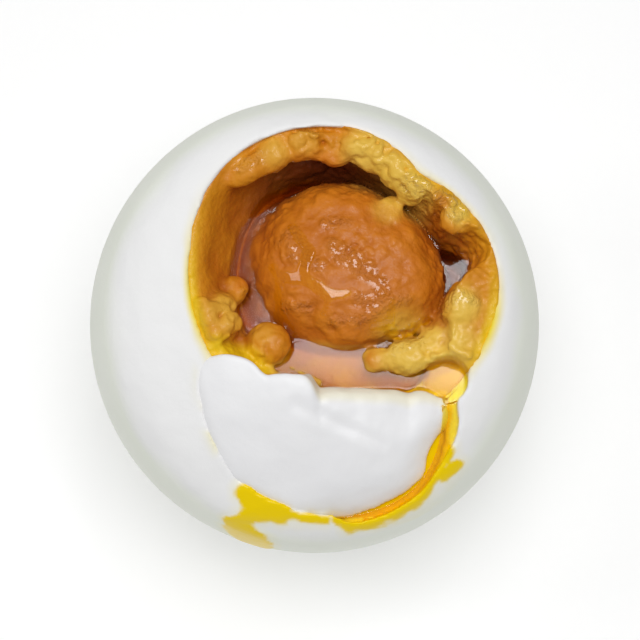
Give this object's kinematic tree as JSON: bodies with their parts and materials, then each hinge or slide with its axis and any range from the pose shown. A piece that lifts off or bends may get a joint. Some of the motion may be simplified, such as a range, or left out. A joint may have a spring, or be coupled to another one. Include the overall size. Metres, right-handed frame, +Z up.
{
  "type": "salted duck egg",
  "caption": "Peeled salted duck egg broken open at the top: smooth white body, torn white flap, crumbly orange yolk with a soft domed middle, and a pool of orange oil.",
  "frame": {"origin": "middle of the small flat spot that the egg stands on", "axes": "+Z up through the broken end, -Y towards the low side of the break, +X to its right"},
  "size_m": [0.046, 0.046, 0.0436],
  "materials": {
    "egg_white": "smooth cooked egg white, pale grey-green outside and whiter where it is broken",
    "white_flap": "torn cooked egg white, soft sheen",
    "yolk": "moist salted yolk, crumbly yellow-orange round an oily orange middle",
    "oil": "clear orange yolk oil, wet and glossy",
    "crack_oil": "clear yellow yolk oil, wet and glossy"
  },
  "bodies": {
    "root": {"egg_white": "egg_white", "white_flap": "white_flap", "yolk": "yolk", "oil": "oil", "crack_oil": "crack_oil"}
  },
  "joints": []
}
